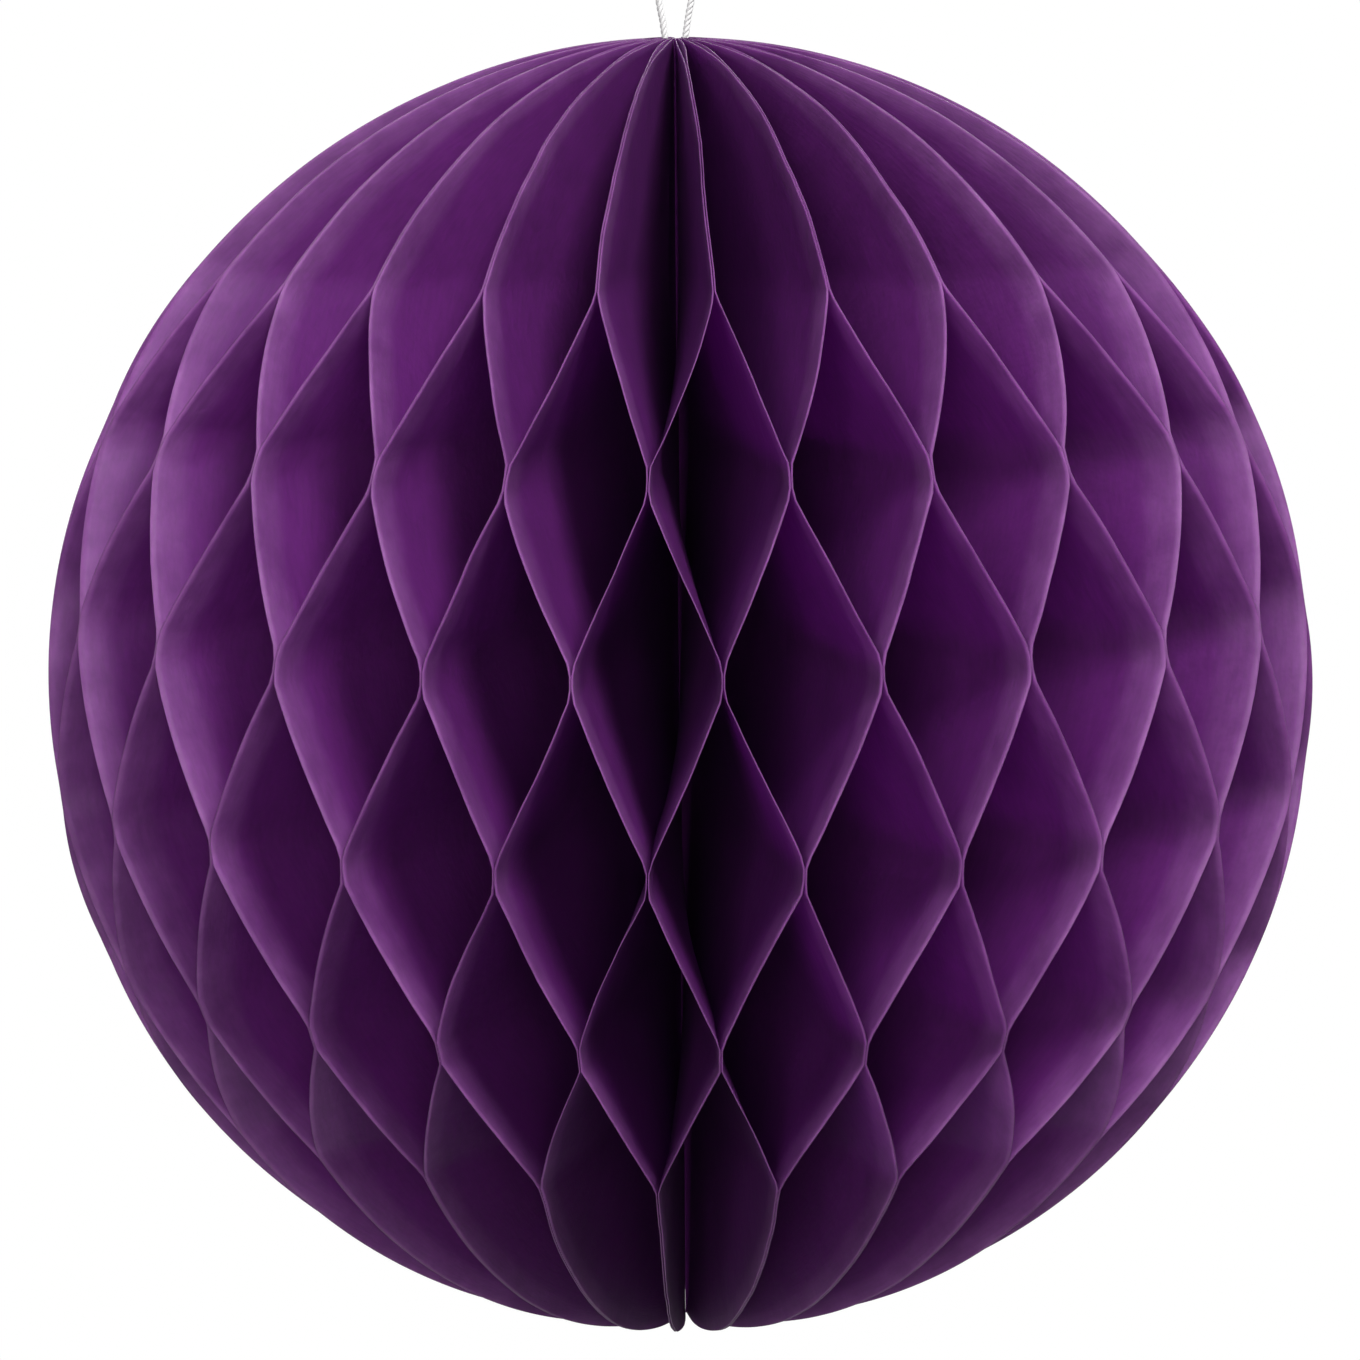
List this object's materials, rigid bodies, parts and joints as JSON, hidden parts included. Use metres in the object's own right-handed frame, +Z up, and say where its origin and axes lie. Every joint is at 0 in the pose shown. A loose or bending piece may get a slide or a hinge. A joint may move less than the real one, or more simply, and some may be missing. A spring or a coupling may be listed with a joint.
{
  "type": "tissue paper honeycomb ball",
  "caption": "Round honeycomb decoration of glued half-round tissue leaves between two card covers, hung by a looped string through a punched hole.",
  "frame": {"origin": "centre of the ball, halfway up the hollow spine between the leaves", "axes": "+Z up along the spine towards the string, -Y towards the viewer, the card covers' closed seam at +Y"},
  "size_m": [0.2496, 0.2497, 0.3183],
  "materials": {
    "tissue": "matte",
    "card": "matte",
    "adhesive": "matte",
    "string": "matte"
  },
  "bodies": {
    "root": {"tissue_leaf_01": "tissue", "tissue_leaf_02": "tissue", "tissue_leaf_03": "tissue", "tissue_leaf_04": "tissue", "tissue_leaf_05": "tissue", "tissue_leaf_06": "tissue", "tissue_leaf_07": "tissue", "tissue_leaf_08": "tissue", "tissue_leaf_09": "tissue", "tissue_leaf_10": "tissue", "tissue_leaf_11": "tissue", "tissue_leaf_12": "tissue", "tissue_leaf_13": "tissue", "tissue_leaf_14": "tissue", "tissue_leaf_15": "tissue", "tissue_leaf_16": "tissue", "tissue_leaf_17": "tissue", "tissue_leaf_18": "tissue", "tissue_leaf_19": "tissue", "tissue_leaf_20": "tissue", "tissue_leaf_21": "tissue", "tissue_leaf_22": "tissue", "tissue_leaf_23": "tissue", "tissue_leaf_24": "tissue", "tissue_leaf_25": "tissue", "tissue_leaf_26": "tissue", "tissue_leaf_27": "tissue", "tissue_leaf_28": "tissue", "tissue_leaf_29": "tissue", "tissue_leaf_30": "tissue", "tissue_leaf_31": "tissue", "tissue_leaf_32": "tissue", "tissue_leaf_33": "tissue", "tissue_leaf_34": "tissue", "tissue_leaf_35": "tissue", "tissue_leaf_36": "tissue", "tissue_leaf_37": "tissue", "tissue_leaf_38": "tissue", "tissue_leaf_39": "tissue", "tissue_leaf_40": "tissue", "tissue_leaf_41": "tissue", "tissue_leaf_42": "tissue", "tissue_leaf_43": "tissue", "tissue_leaf_44": "tissue", "tissue_leaf_45": "tissue", "tissue_leaf_46": "tissue", "tissue_leaf_47": "tissue", "tissue_leaf_48": "tissue", "card_cover_left": "card", "card_cover_right": "card", "closing_pad_upper": "adhesive", "closing_pad_lower": "adhesive", "string_left": "string", "string_right": "string", "string_knot": "string"}
  },
  "joints": []
}
